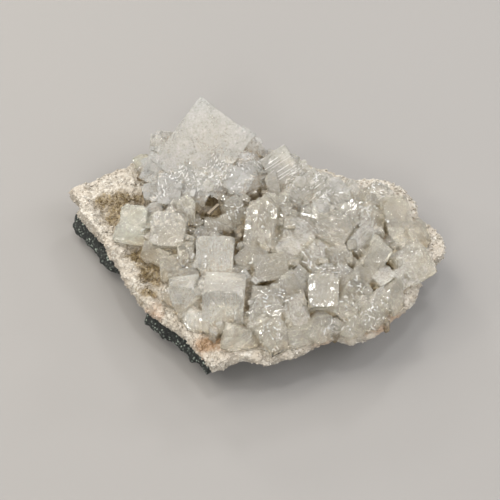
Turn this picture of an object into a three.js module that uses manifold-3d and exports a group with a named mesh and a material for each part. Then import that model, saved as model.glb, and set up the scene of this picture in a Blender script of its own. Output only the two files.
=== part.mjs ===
// Apophyllite cluster: milky-clear block crystals grown on a sugary cream crust, which
// coats a broken piece of dark basalt. Millimetres, +Z up. The origin is at the middle of
// the foot of the whole piece, +X runs along its length and -Y is its front.
import * as THREE from 'three';
import { ConvexGeometry } from 'three/addons/geometries/ConvexGeometry.js';
import { mergeVertices } from 'three/addons/utils/BufferGeometryUtils.js';
import Module from 'manifold-3d';

const wasm = await Module();
wasm.setup();

// ---------------------------------------------------------------- driving dimensions

const CRUST_TOP = 17;          // rim of the crust above the resting face
const BED_HEIGHT = 15;         // floor that the crystals grow from
const BASALT_TOP = 10;         // mean height at which the crust starts
const CONTACT_GAP = 0.3;       // clearance between neighbouring pieces
const UNDERCUT = 8.5;          // how far the basalt stands back under the front rim
const REST_SHARE = 0.78;       // how far the flat underside reaches towards the edge
const PYRAMID_TILT = 60.3;     // angle between apophyllite's basal face and its pyramid faces
const AZIMUTH_SPREAD = 26;     // most that a lesser crystal turns away, in degrees
const ELEVATION_SPREAD = 15;   // most that it rears or dips, in degrees
const TURN_SPREAD = 24;        // most that it twists, in degrees
const BROKEN_CORNERS = 2;      // corners knocked off each lesser crystal without trim
const MOST_BROKEN = 0.6;       // share of a corner's reach that is left where most broke off
const BASALT_FALL = 0.018;     // slope of the basalt's top towards the front left

const SLAB_MIDDLE = new THREE.Vector2(0, 2);

// Broken outline of the slab at the crust's rim, seen from above, anticlockwise.
const RIM_OUTLINE = [
  [75, 1], [73, 12], [66.5, 19], [65, 27], [61, 37], [52, 41], [45, 40],
  [36, 43.5], [28, 47], [20, 50], [10, 54], [-4, 58], [-20, 59], [-34, 56], [-45, 52.5],
  [-53, 46.5], [-62, 40.5], [-73.5, 35.5], [-66.5, 28.5], [-68.5, 24.5], [-58, 11],
  [-51, -1.5], [-47, -9.5], [-42, -18.5], [-36, -26], [-27, -33], [-21, -39], [-15.5, -47],
  [-12, -51.5],
  [-8, -47], [-1, -46], [7, -47.5], [17, -44], [25, -39.5], [32, -36], [36, -39.5],
  [44, -36], [53, -27.5], [62, -18.5], [63.5, -11.5], [68, -3.5],
];

// Brown-floored pockets in the crust: middle, radius and depth.
const CRUST_POCKETS = [
  { x: -55, y: 24, radius: 6, depth: 2.6 },
  { x: -46, y: 28, radius: 4, depth: 2.4 },
  { x: -45, y: 2, radius: 6, depth: 2.2 },
  { x: -38, y: -11, radius: 5, depth: 2.0 },
  { x: -15, y: 18, radius: 5, depth: 3.0 },
  { x: -15, y: -43, radius: 4, depth: 1.6 },
];

// ---------------------------------------------------------------- small tools

// Repeatable random numbers between 0 and 1.
function seededRandom(seed) {
  let state = seed;
  return () => {
    state = (state * 1664525 + 1013904223) % 4294967296;
    return state / 4294967296;
  };
}

// Smooth bumpy field between about -1 and 1, made of a few crossed waves.
function waves(x, y, length, phase) {
  const k = (2 * Math.PI) / length;
  const a = Math.sin(k * (x + 0.35 * y) + phase);
  const b = Math.sin(k * (0.9 * y - 0.4 * x) + 2.1 * phase);
  const c = Math.sin(k * (1.7 * x + 1.3 * y) + 0.7 * phase);
  return (a + b + 0.6 * c) / 2.6;
}

function smoothStep(low, high, value) {
  const t = Math.min(1, Math.max(0, (value - low) / (high - low)));
  return t * t * (3 - 2 * t);
}

function solidFrom(geometry) {
  const bare = geometry.clone();
  bare.deleteAttribute('normal');
  bare.deleteAttribute('uv');
  const merged = mergeVertices(bare, 1e-4);
  return new wasm.Manifold(new wasm.Mesh({
    numProp: 3,
    vertProperties: new Float32Array(merged.attributes.position.array),
    triVerts: new Uint32Array(merged.index.array),
  }));
}

function geometryFrom(solid) {
  const mesh = solid.getMesh();
  const geometry = new THREE.BufferGeometry();
  geometry.setAttribute('position', new THREE.Float32BufferAttribute(mesh.vertProperties, 3));
  geometry.setIndex(Array.from(mesh.triVerts));
  geometry.computeVertexNormals();
  return geometry;
}

// ---------------------------------------------------------------- slab: basalt and crust

// Distance from the slab's middle to its rim in the direction of an angle.
function rimRadius(angle) {
  const direction = new THREE.Vector2(Math.cos(angle), Math.sin(angle));
  let reach = 0;
  RIM_OUTLINE.forEach((corner, i) => {
    const next = RIM_OUTLINE[(i + 1) % RIM_OUTLINE.length];
    const start = new THREE.Vector2(...corner).sub(SLAB_MIDDLE);
    const side = new THREE.Vector2(...next).sub(SLAB_MIDDLE).sub(start);
    const crossing = direction.cross(side);
    if (Math.abs(crossing) < 1e-9) return;
    const distance = start.cross(side) / crossing;
    const along = start.cross(direction) / crossing;
    if (along >= 0 && along < 1 && distance > 0) reach = Math.max(reach, distance);
  });
  return reach;
}

// One ring of points around the slab's middle: share of the rim radius, plus a reach in mm.
function ring(count, share, reach, heightAt) {
  const points = [];
  for (let i = 0; i < count; i += 1) {
    const angle = (2 * Math.PI * i) / count;
    const radius = rimRadius(angle) * share + reach(angle);
    const x = SLAB_MIDDLE.x + radius * Math.cos(angle);
    const y = SLAB_MIDDLE.y + radius * Math.sin(angle);
    points.push(new THREE.Vector3(x, y, heightAt(x, y, angle)));
  }
  return points;
}

// Closed body through a stack of rings, from the middle of the top to that of the bottom.
function bodyThroughRings(top, rings, bottom) {
  const positions = [];
  const face = (a, b, c) => positions.push(...a.toArray(), ...b.toArray(), ...c.toArray());
  const first = rings[0];
  first.forEach((point, i) => face(top, point, first[(i + 1) % first.length]));
  for (let r = 0; r + 1 < rings.length; r += 1) {
    const upper = rings[r];
    const lower = rings[r + 1];
    let i = 0;
    let j = 0;
    while (i < upper.length || j < lower.length) {
      const stepUpper = (i + 1) / upper.length <= (j + 1) / lower.length + 1e-9;
      const a = upper[i % upper.length];
      const b = lower[j % lower.length];
      if (stepUpper && i < upper.length) {
        face(a, b, upper[(i + 1) % upper.length]);
        i += 1;
      } else {
        face(a, b, lower[(j + 1) % lower.length]);
        j += 1;
      }
    }
  }
  const last = rings[rings.length - 1];
  last.forEach((point, i) => face(bottom, last[(i + 1) % last.length], point));
  const geometry = new THREE.BufferGeometry();
  geometry.setAttribute('position', new THREE.Float32BufferAttribute(positions, 3));
  return geometry;
}

// Height of the surface on which the crust grew.
function basaltTop(x, y) {
  return BASALT_TOP + 0.7 * waves(x, y, 95, 1.3) + BASALT_FALL * (x - y);
}

// Height of the crust's upper side, with lumps towards the rim and sunk pockets.
function crustTop(x, y) {
  const offset = new THREE.Vector2(x, y).sub(SLAB_MIDDLE);
  const share = offset.length() / rimRadius(offset.angle());
  const rise = smoothStep(0.7, 0.93, share);
  let height = BED_HEIGHT + (CRUST_TOP - BED_HEIGHT) * rise;
  height += 0.5 * waves(x, y, 34, 0.4);
  height += 0.7 * rise * waves(x, y, 11, 2.2);
  CRUST_POCKETS.forEach((pocket) => {
    const away = Math.hypot(x - pocket.x, y - pocket.y) / pocket.radius;
    height -= pocket.depth * (1 - smoothStep(0.4, 1.1, away));
  });
  return height;
}

const RIM_POINTS = 104;
const EDGE_POINTS = 80;
const MIDDLE_POINTS = 36;

// Ragged step of the broken edge, in mm, different on each level of the side wall.
function edgeNoise(angle, level) {
  return 0.55 * Math.sin(23 * angle + 5 * level) + 0.45 * Math.sin(41 * angle + 11 * level);
}

function crustGeometry() {
  const at = crustTop;
  const under = basaltTop;
  const level = (share) => (x, y) => THREE.MathUtils.lerp(under(x, y), at(x, y), share);
  const none = () => 0;
  const rings = [
    ring(MIDDLE_POINTS / 2, 0.28, none, at),
    ring(MIDDLE_POINTS, 0.55, none, at),
    ring(MIDDLE_POINTS * 2, 0.7, none, at),
    ring(RIM_POINTS, 0.8, none, at),
    ring(RIM_POINTS, 0.87, none, at),
    ring(RIM_POINTS, 0.93, none, at),
    ring(RIM_POINTS, 1, (a) => edgeNoise(a, 0) - 0.9, (x, y) => at(x, y) - 0.5),
    ring(RIM_POINTS, 1, (a) => edgeNoise(a, 1), level(0.62)),
    ring(RIM_POINTS, 1, (a) => edgeNoise(a, 2) - 0.8, level(0.3)),
    ring(RIM_POINTS, 1, (a) => edgeNoise(a, 3) - 3.2, under),
    ring(MIDDLE_POINTS, 0.72, none, under),
    ring(MIDDLE_POINTS / 2, 0.4, none, under),
  ];
  const { x, y } = SLAB_MIDDLE;
  return bodyThroughRings(
    new THREE.Vector3(x, y, at(x, y)), rings, new THREE.Vector3(x, y, under(x, y)),
  );
}

// How far the basalt's side stands back from the rim. It swells out along the left and at
// the front-left corner, and is undercut along the front and the right.
function basaltSetback(angle) {
  const degrees = THREE.MathUtils.radToDeg(angle);
  const leftBulge = smoothStep(150, 157, degrees) * (1 - smoothStep(178, 185, degrees));
  const frontBulge = smoothStep(203, 212, degrees) * (1 - smoothStep(250, 258, degrees));
  const backWall = smoothStep(40, 60, degrees) * (1 - smoothStep(120, 150, degrees));
  const swelling = 4.5 * leftBulge + 1.5 * frontBulge;
  return UNDERCUT * (1 - Math.max(leftBulge, frontBulge, 0.55 * backWall)) - swelling;
}

function basaltGeometry() {
  const top = (x, y) => basaltTop(x, y) - CONTACT_GAP;
  const share = (part) => (x, y) => top(x, y) * part;
  const wall = (back, step) => (a) => -basaltSetback(a) * back - 2.4 + edgeNoise(a, step) * 1.3;
  const none = () => 0;
  const rings = [
    ring(MIDDLE_POINTS / 2, 0.4, none, top),
    ring(MIDDLE_POINTS, 0.72, none, top),
    ring(EDGE_POINTS, 1, (a) => wall(0.5, 4)(a) - 1.5, top),
    ring(EDGE_POINTS, 1, (a) => wall(0.8, 5)(a) + 1.2, share(0.74)),
    ring(EDGE_POINTS, 1, (a) => wall(1, 6)(a) + 1, share(0.48)),
    ring(EDGE_POINTS, 1, (a) => wall(1, 7)(a) - 3.5, share(0.16)),
    ring(MIDDLE_POINTS, REST_SHARE, none, () => 0),
    ring(MIDDLE_POINTS / 2, 0.4, none, () => 0),
  ];
  const { x, y } = SLAB_MIDDLE;
  return bodyThroughRings(
    new THREE.Vector3(x, y, top(x, y)), rings, new THREE.Vector3(x, y, 0),
  );
}

// ---------------------------------------------------------------- crystals

// All corners of the convex body that a set of planes encloses.
function cornersOf(planes) {
  const corners = [];
  const inside = (point) => planes.every((plane) => plane.distanceToPoint(point) < 1e-6);
  for (let i = 0; i < planes.length; i += 1) {
    for (let j = i + 1; j < planes.length; j += 1) {
      for (let k = j + 1; k < planes.length; k += 1) {
        const [p, q, r] = [planes[i], planes[j], planes[k]];
        const qr = q.normal.clone().cross(r.normal);
        const spread = p.normal.dot(qr);
        if (Math.abs(spread) < 1e-6) continue;
        const point = qr.multiplyScalar(-p.constant)
          .addScaledVector(r.normal.clone().cross(p.normal), -q.constant)
          .addScaledVector(p.normal.clone().cross(q.normal), -r.constant)
          .divideScalar(spread);
        if (inside(point)) corners.push(point);
      }
    }
  }
  return corners;
}

// Level on which a crystal stands: just clear of the highest crust inside it.
const crustSolid = solidFrom(crustGeometry());
const footLevels = new Map();

function footLevel(spec, planes) {
  if (!footLevels.has(spec)) {
    const whole = solidFrom(new ConvexGeometry(cornersOf(planes)));
    const sunk = whole.intersect(crustSolid);
    const level = sunk.isEmpty() ? 0 : sunk.boundingBox().max[2] + CONTACT_GAP;
    footLevels.set(spec, level);
  }
  return footLevels.get(spec);
}

// One block crystal. The middle of its outer face is at (x, y, z), it is w wide, h high and
// d deep behind that face. The face looks towards azimuth az (0 is the front, 90 is +X)
// and elevation el, and is turned by turn. trim is how far the pyramid faces cut its
// corners back. A crystal that isn't whole has corners of its outer face knocked off, one
// fewer where it is trimmed, and leans further, each its own way. grow swells the whole
// crystal, which ends below in a level foot.
function crystalSolid(spec, grow = 0) {
  const { x, y, z, w, h, d, trim = 0, whole = false } = spec;
  const random = seededRandom(Math.round(101 * w + 37 * h + 7 * Math.abs(x) + 3 * Math.abs(y)));
  const lean = (most) => (whole ? 0 : most * (2 * random() - 1));
  const az = (spec.az ?? 0) + lean(AZIMUTH_SPREAD);
  const el = (spec.el ?? 50) + lean(ELEVATION_SPREAD);
  const turn = (spec.turn ?? 0) + lean(TURN_SPREAD);
  const half = [w / 2, h / 2, d / 2];
  const planes = [];
  const addPlane = (normal, distance) => {
    planes.push(new THREE.Plane(normal, -(distance + grow)));
  };
  const tipTowards = (normal) => new THREE.Vector3(
    ...half.map((size, i) => size * Math.sign(normal.getComponent(i))),
  );
  for (let i = 0; i < 3; i += 1) {
    [-1, 1].forEach((sign) => addPlane(new THREE.Vector3().setComponent(i, sign), half[i]));
  }
  const tilt = THREE.MathUtils.degToRad(PYRAMID_TILT);
  for (let corner = 0; corner < 4 && trim > 0; corner += 1) {
    const sign = [corner & 1, corner & 2].map((bit) => (bit ? 1 : -1));
    const across = Math.sin(tilt) * Math.SQRT1_2;
    const normal = new THREE.Vector3(sign[0] * across, sign[1] * across, Math.cos(tilt));
    const cut = trim * (0.7 + 0.2 * corner);
    addPlane(normal, normal.dot(tipTowards(normal)) - cut);
  }
  const broken = trim > 0 ? BROKEN_CORNERS - 1 : BROKEN_CORNERS;
  for (let corner = 0; corner < broken && !whole; corner += 1) {
    const [sideways, upright] = [random() < 0.5 ? -1 : 1, corner % 2 ? -1 : 1];
    const normal = new THREE.Vector3(
      sideways * (0.3 + random()), upright * (0.3 + random()), 0.25 + 0.9 * random(),
    ).normalize();
    const left = MOST_BROKEN + (1 - MOST_BROKEN) * 0.7 * random();
    addPlane(normal, normal.dot(tipTowards(normal)) * left);
  }
  const degrees = THREE.MathUtils.degToRad;
  const place = new THREE.Matrix4()
    .makeTranslation(x, y, z)
    .multiply(new THREE.Matrix4().makeRotationZ(degrees(az)))
    .multiply(new THREE.Matrix4().makeRotationX(degrees(90 - el)))
    .multiply(new THREE.Matrix4().makeRotationZ(degrees(turn)))
    .multiply(new THREE.Matrix4().makeTranslation(0, 0, -d / 2));
  planes.forEach((plane) => plane.applyMatrix4(place));
  planes.push(new THREE.Plane(new THREE.Vector3(0, 0, 1), grow - footLevel(spec, planes)).negate());
  return solidFrom(new ConvexGeometry(cornersOf(planes)));
}

// ---------------------------------------------------------------- crystal groups

const GROUPS = {
  large_block_crystal: [
    // the great square block, and the ledge on its right-hand corner
    { x: -18.6, y: 41.6, z: 32, w: 26.2, h: 31.8, d: 15, el: 50, turn: -37.4, trim: 0.4, whole: true },
    { x: -1.5, y: 48.2, z: 33.2, w: 6, h: 5, d: 8, el: 50, turn: -34, whole: true },
    // pieces that grew against its right side
    { x: 1.5, y: 46.5, z: 26, w: 8.5, h: 15, d: 10, az: 14, el: 46, turn: 12, trim: 2 },
    { x: -1.5, y: 38, z: 26, w: 10, h: 12, d: 10, az: 22, el: 52, turn: -24, trim: 1.2 },
    { x: -4.5, y: 30.5, z: 25.5, w: 10, h: 10, d: 9, az: 8, el: 52, turn: 20, trim: 0.8 },
    { x: 1.6, y: 33, z: 25, w: 7, h: 12, d: 9, az: 4, el: 48, turn: 6 },
    // knob behind its left corner
    { x: -36.3, y: 51.5, z: 27.2, w: 8.5, h: 8, d: 9, az: -20, el: 45, turn: 8, trim: 3, whole: true },
    // blocks along its lower left side
    { x: -36.5, y: 36, z: 26, w: 10, h: 12, d: 9, az: -12, el: 52, turn: -38, trim: 1 },
    { x: -37, y: 27, z: 22, w: 9, h: 9, d: 8, az: -8, el: 48, turn: 30 },
    { x: -31, y: 26.5, z: 25, w: 9, h: 12, d: 9, az: 6, el: 46, turn: -28, trim: 1 },
    { x: -37.5, y: 20, z: 19.5, w: 8, h: 7, d: 6, az: -18, el: 60, turn: 12 },
    // low steps on its lower corner
    { x: -26.5, y: 31.5, z: 24.6, w: 8, h: 9, d: 8, az: -3, el: 48, turn: -41, whole: true },
    { x: -20.5, y: 27.5, z: 21.6, w: 9, h: 12, d: 8, az: 3, el: 48, turn: -35, whole: true },
    { x: -12.5, y: 30.5, z: 23.8, w: 9, h: 10, d: 8, az: 4, el: 48, turn: -39, whole: true },
    // short blocks behind its foot
    { x: -27, y: 52, z: 23, w: 9, h: 8, d: 8, az: 190, el: 40, turn: 30, trim: 1 },
    { x: -8, y: 53, z: 23, w: 9, h: 9, d: 8, az: 170, el: 44, turn: -24, trim: 1 },
  ],
  striated_block_crystals: [
    { x: 13, y: 32.8, z: 28.5, w: 11.5, h: 17, d: 13, az: -6, el: 46, turn: 37, trim: 0.4, whole: true },
    { x: 20.5, y: 32, z: 25, w: 9, h: 12, d: 12, az: -4, el: 46, turn: 37, whole: true },
    { x: 9, y: 27.5, z: 24.5, w: 5, h: 12, d: 8, az: -34, el: 38, turn: 30 },
    { x: 24.5, y: 25.5, z: 25.5, w: 12, h: 13, d: 11, az: 8, el: 50, turn: 33, trim: 0.9, whole: true },
    { x: 17, y: 22.5, z: 24.5, w: 12, h: 8, d: 10, az: 4, el: 54, turn: 28, trim: 0.9 },
    { x: 33, y: 28.5, z: 23, w: 10, h: 9, d: 8, az: 18, el: 56, turn: 20, trim: 1.4 },
    { x: 28, y: 36, z: 20.5, w: 8, h: 5, d: 5, az: -10, el: 62, turn: 14 },
    { x: 34.5, y: 20.5, z: 23.5, w: 8.5, h: 9, d: 9, az: -12, el: 52, turn: -20, trim: 1.3 },
    { x: 27.5, y: 16.5, z: 24.5, w: 9, h: 8, d: 9, az: 10, el: 58, turn: 8 },
    { x: 41, y: 30.5, z: 20, w: 7, h: 7, d: 6, az: 6, el: 60, turn: 34 },
    { x: 8, y: 40, z: 22, w: 8, h: 8, d: 7, az: -12, el: 58, turn: 20 },
    { x: 17, y: 43, z: 20.5, w: 8, h: 7, d: 6, az: 160, el: 55, turn: 24, trim: 0.8 },
    { x: 30, y: 39.5, z: 20, w: 7, h: 6, d: 5, az: 150, el: 60, turn: -16 },
  ],
  rear_left_crystal: [
    { x: -44.6, y: 46.5, z: 20, w: 5, h: 5.5, d: 5, az: -24, el: 54, turn: 44, trim: 0.5, whole: true },
  ],
  left_block_crystals: [
    { x: -44.5, y: 15.5, z: 22.5, w: 10, h: 8.5, d: 8, el: 74, turn: -4, trim: 0.9, whole: true },
    { x: -45.5, y: 7.5, z: 19.5, w: 12.5, h: 9, d: 8, az: -12, el: 46, turn: -6, trim: 1.5, whole: true },
    { x: -38.5, y: 13, z: 19, w: 7, h: 7, d: 6, az: 24, el: 48, turn: 38 },
  ],
  clear_block_crystals: [
    // upright clear block with a nearly level top
    { x: -30.5, y: 4.5, z: 27, w: 13, h: 14, d: 13, az: -8, el: 76, turn: 2, trim: 1.6, whole: true },
    { x: -35.5, y: -2.5, z: 20, w: 12, h: 7, d: 6, az: -38, el: 34, turn: 4, whole: true },
    // pointed crystal behind it: shaft and tip
    { x: -24.3, y: 14.4, z: 24.7, w: 6.4, h: 9, d: 8, el: 46, whole: true },
    { x: -24.3, y: 17.9, z: 27.5, w: 4.6, h: 4.6, d: 8, el: 46, turn: 45, whole: true },
    { x: -29, y: 17.5, z: 21.4, w: 7, h: 9, d: 8, az: -10, el: 52, turn: -22 },
    // small blocks in front of it
    { x: -23.5, y: -6, z: 24, w: 6, h: 9.5, d: 8, az: 8, el: 44, turn: -2, trim: 0.7, whole: true },
    { x: -29.5, y: -9.5, z: 20.5, w: 8, h: 10, d: 8, az: -34, el: 42, turn: 24, trim: 0.7 },
    { x: -22, y: -15.5, z: 21.5, w: 7, h: 9, d: 8, az: -26, el: 48, turn: 14 },
  ],
  sparkling_crystals: [
    { x: -5.5, y: 19, z: 23, w: 7, h: 8, d: 7, az: 14, el: 46, turn: 30 },
    { x: -3.5, y: 12, z: 23, w: 6, h: 8, d: 8, az: 22, el: 42, turn: 18 },
    { x: -9, y: 11.5, z: 22, w: 6, h: 7, d: 7, az: -8, el: 50, turn: 40 },
    { x: -14, y: 9.5, z: 21.5, w: 7, h: 6, d: 7, az: -12, el: 52, turn: -18 },
    { x: -18, y: 6.5, z: 21, w: 6, h: 6, d: 6, az: 12, el: 56, turn: 24 },
  ],
  centre_crystals: [
    // tall crystal, shaft and blunt tip, and its narrow right-hand neighbour
    { x: 3.7, y: 4, z: 28.9, w: 11, h: 17, d: 12, az: -14, el: 44, turn: 3, trim: 1.4, whole: true },
    { x: 4.9, y: 8.7, z: 33.3, w: 7.8, h: 7.8, d: 12, az: -14, el: 44, turn: 48, whole: true },
    { x: 12, y: 11.5, z: 26.5, w: 8.5, h: 14, d: 10, az: 28, el: 44, turn: -4, trim: 1.2, whole: true },
    // blocks to its right
    { x: 18.5, y: 3, z: 26, w: 13, h: 12, d: 12, az: 8, el: 60, turn: -14, trim: 1.6 },
    { x: 31, y: 5.5, z: 26.5, w: 13.5, h: 12, d: 12, az: -6, el: 62, turn: 6, trim: 1.6 },
    { x: 22.5, y: 11.5, z: 24.5, w: 9, h: 8, d: 9, az: -14, el: 56, turn: 30 },
    { x: 25, y: -6.5, z: 23.5, w: 12, h: 10, d: 10, az: 16, el: 54, turn: 12, trim: 1.5 },
    // broad block below it, over a wedge-shaped opening
    { x: 7.8, y: -14.2, z: 27.2, w: 12, h: 9.5, d: 11, az: 4, el: 50, turn: 6, trim: 0.7, whole: true },
    { x: 33.5, y: -5.5, z: 23, w: 9, h: 8, d: 8, az: 6, el: 58, turn: -18 },
    { x: 0.5, y: -7, z: 24.5, w: 9, h: 11, d: 10, az: -12, el: 54, turn: -24 },
    { x: 14.5, y: -4, z: 24.5, w: 9, h: 10, d: 10, az: 20, el: 52, turn: 18, trim: 1.2 },
  ],
  front_block_crystals: [
    // upright front block
    { x: -9.6, y: -33, z: 25, w: 14.3, h: 16.5, d: 16, az: -3, el: 27, turn: 0, trim: 1.2, whole: true },
    // broad crystal leaning behind it
    { x: -13, y: -7.5, z: 25.5, w: 13.5, h: 15, d: 11, az: -6, el: 58, turn: 4, trim: 1.2, whole: true },
    { x: -1.5, y: -17.5, z: 23, w: 6, h: 8, d: 8, az: 10, el: 48, turn: 22 },
    // blocks at its left
    { x: -23.5, y: -26, z: 23, w: 9, h: 12, d: 9, az: -30, el: 42, turn: 12, trim: 1 },
    { x: -19.5, y: -33, z: 20.5, w: 8, h: 8, d: 7, az: -24, el: 34, turn: -12 },
    { x: -28.5, y: -21.5, z: 19.5, w: 7, h: 7, d: 6, az: -36, el: 50, turn: 30 },
  ],
  front_edge_crystals: [
    { x: 5.3, y: -33, z: 25, w: 11.5, h: 17, d: 11, az: -4, el: 48, turn: -4, trim: 2.6, whole: true },
    { x: -2.6, y: -42, z: 20.2, w: 13.5, h: 9, d: 8, az: -14, el: 44, turn: -16, trim: 1.2 },
    { x: 9.5, y: -41, z: 21.5, w: 10, h: 12, d: 9, az: 14, el: 44, turn: 8, trim: 1.2 },
    { x: 16, y: -31, z: 23.5, w: 10, h: 12, d: 10, az: 12, el: 54, turn: -28 },
    { x: 15.5, y: -21.5, z: 24.5, w: 9, h: 12, d: 10, az: -6, el: 50, turn: 20, trim: 1.2 },
    { x: 25.5, y: -36.5, z: 20.5, w: 11, h: 9, d: 8, az: 10, el: 52, turn: 18 },
    { x: 18, y: -40.5, z: 19.5, w: 9, h: 8, d: 6, az: 4, el: 46, turn: -14 },
  ],
  right_front_crystals: [
    // upright block with a level top
    { x: 26, y: -24.5, z: 27.5, w: 10.5, h: 13, d: 12, az: 4, el: 78, turn: -4, trim: 1, whole: true },
    { x: 34.5, y: -15.5, z: 24, w: 8, h: 9, d: 9, az: 24, el: 52, turn: 34, trim: 0.8 },
    { x: 28, y: -14.5, z: 24, w: 9, h: 7, d: 8, az: -10, el: 56, turn: -8 },
    // splintered blades and blocks before the right-hand rim
    { x: 37.5, y: -23, z: 23.5, w: 11, h: 8, d: 9, az: 20, el: 50, turn: 30 },
    { x: 34.5, y: -30, z: 22, w: 10, h: 7, d: 8, az: -8, el: 44, turn: -26 },
    { x: 44.5, y: -31.5, z: 20.5, w: 12, h: 9, d: 8, az: 22, el: 46, turn: 12 },
    { x: 46.5, y: -25.5, z: 22.5, w: 8, h: 8, d: 8, az: 10, el: 52, turn: -14 },
    { x: 36.5, y: -36.5, z: 19.5, w: 9, h: 7, d: 6, az: 6, el: 52, turn: 24 },
    { x: 53, y: -23, z: 21, w: 11, h: 9, d: 8, az: 34, el: 50, turn: -22 },
  ],
  leaning_prism_crystal: [
    { x: 43.5, y: -12.5, z: 26, w: 7.5, h: 19, d: 9, az: 6, el: 52, turn: -44, trim: 0.8, whole: true },
    { x: 49.5, y: -16, z: 23, w: 8, h: 9, d: 8, az: 16, el: 56, turn: 14 },
  ],
  right_block_crystals: [
    { x: 39.5, y: 13.5, z: 25, w: 8.5, h: 11, d: 10, az: -4, el: 60, turn: 12, trim: 0.8 },
    { x: 46.5, y: 10.5, z: 25.5, w: 9, h: 10, d: 10, az: 12, el: 54, turn: -26 },
    { x: 42.5, y: 1.5, z: 24, w: 12, h: 9, d: 10, az: 4, el: 50, turn: 22, trim: 1 },
    { x: 50.5, y: 22.5, z: 25, w: 10, h: 10, d: 10, az: 4, el: 52, turn: 6, trim: 1.8 },
    { x: 44, y: 22, z: 22, w: 8, h: 9, d: 8, az: -22, el: 56, turn: -30 },
    { x: 50, y: 30, z: 21, w: 8, h: 7, d: 6, az: 150, el: 58, turn: 30, trim: 0.8 },
    { x: 55.2, y: 20.5, z: 20.5, w: 7, h: 7, d: 6, az: 30, el: 58, turn: 22 },
  ],
  right_edge_crystals: [
    // tall smooth face
    { x: 55.8, y: 8, z: 27.5, w: 9.5, h: 18, d: 12, az: 4, el: 50, turn: 8, trim: 1.6, whole: true },
    { x: 63.5, y: 4.5, z: 23, w: 9, h: 11, d: 8, az: 20, el: 50, turn: -6, trim: 1 },
    { x: 60.5, y: -9, z: 22.8, w: 13, h: 14, d: 9, az: 16, el: 54, turn: 18, trim: 1.4, whole: true },
    { x: 54.5, y: -15.5, z: 22, w: 9, h: 8, d: 7, az: 10, el: 60, turn: -16 },
  ],
};

// Crystals of one group are joined where they have grown into each other. A group stands
// clear of the groups that grew before it.
function groupSolid(specs, earlier) {
  let solid = specs.map((spec) => crystalSolid(spec)).reduce((all, next) => all.add(next));
  earlier.forEach((spec) => {
    const space = crystalSolid(spec, CONTACT_GAP);
    if (solid.intersect(space).volume() > 0) solid = solid.subtract(space);
  });
  const pieces = solid.decompose();
  pieces.sort((a, b) => b.volume() - a.volume());
  return pieces[0];
}

// ---------------------------------------------------------------- assembly

const cluster = new THREE.Group();

function addPiece(name, geometry, color, roughness) {
  const material = new THREE.MeshStandardMaterial({ color, roughness, metalness: 0 });
  const mesh = new THREE.Mesh(geometry, material);
  mesh.name = name;
  cluster.add(mesh);
}

addPiece('basalt_matrix', basaltGeometry(), 0x2b302c, 0.9);
addPiece('drusy_crust', crustGeometry(), 0xe2d6c6, 0.8);

const grown = [];
Object.entries(GROUPS).forEach(([name, specs]) => {
  addPiece(name, geometryFrom(groupSolid(specs, grown)), 0xcfcac4, 0.2);
  grown.push(...specs);
});

// The origin is brought to the middle of the foot.
const extent = new THREE.Box3().setFromObject(cluster);
const middle = extent.getCenter(new THREE.Vector3());
cluster.position.set(-middle.x, -middle.y, -extent.min.z);

export default cluster;
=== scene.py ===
import math
import random

import bmesh
import bpy
import numpy as np
from mathutils import Matrix, Vector, geometry, noise
from mathutils.bvhtree import BVHTree


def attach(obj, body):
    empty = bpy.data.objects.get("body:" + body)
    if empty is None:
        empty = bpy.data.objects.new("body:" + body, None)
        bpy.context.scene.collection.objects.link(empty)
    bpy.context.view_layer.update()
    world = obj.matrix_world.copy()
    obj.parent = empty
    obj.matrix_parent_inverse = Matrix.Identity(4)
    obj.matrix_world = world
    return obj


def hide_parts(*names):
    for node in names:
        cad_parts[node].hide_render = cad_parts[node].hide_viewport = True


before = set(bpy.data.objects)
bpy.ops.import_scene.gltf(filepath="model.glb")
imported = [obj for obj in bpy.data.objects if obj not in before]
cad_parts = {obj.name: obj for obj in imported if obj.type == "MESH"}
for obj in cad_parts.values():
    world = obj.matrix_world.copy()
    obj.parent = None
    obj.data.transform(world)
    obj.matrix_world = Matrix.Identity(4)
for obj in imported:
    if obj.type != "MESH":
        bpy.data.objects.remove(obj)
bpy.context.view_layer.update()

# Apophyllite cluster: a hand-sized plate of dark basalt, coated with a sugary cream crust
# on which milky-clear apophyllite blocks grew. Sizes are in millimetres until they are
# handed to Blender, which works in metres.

MM = 0.001

# ---------------------------------------------------------------- table, lights and camera
# The specimen stands on a plain pale table in a pale room, under three large softboxes and
# six small lamps that put the glints on the crystals' faces. The camera looks down on it
# from the front, with a short telephoto lens.

TARGET = Vector((-1.07, -8.21, 20)) * MM    # what the camera and the lamps look at
DISTANCE = 380 * MM
ELEVATION = math.radians(50)
FRAME_WIDTH = 187 * MM        # width of the view at the target
SENSOR = 36.0                 # width of the camera's sensor


def linear(colour):
    """An sRGB hex colour as the linear RGBA that Blender's sockets take."""
    parts = [int(colour[i:i + 2], 16) / 255 for i in (1, 3, 5)]
    return [p / 12.92 if p <= 0.04045 else ((p + 0.055) / 1.055) ** 2.4 for p in parts] + [1]


def add(tree, kind, links=None, values=None, **settings):
    """A node with its settings, the values of its sockets and what is linked to them."""
    node = tree.nodes.new(kind)
    for name, value in settings.items():
        setattr(node, name, value)
    for socket, value in (values or {}).items():
        node.inputs[socket].default_value = value
    for socket, source in (links or {}).items():
        tree.links.new(source, node.inputs[socket])
    return node


def new_material(name):
    """An empty material, as its node tree, itself and its output node."""
    material = bpy.data.materials.new(name)
    material.use_nodes = True
    material.node_tree.nodes.clear()
    return material.node_tree, material, add(material.node_tree, "ShaderNodeOutputMaterial")


def link_object(name, data):
    """An object of a mesh, lamp or camera, put into the scene."""
    made = bpy.data.objects.new(name, data)
    bpy.context.scene.collection.objects.link(made)
    return made


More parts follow.
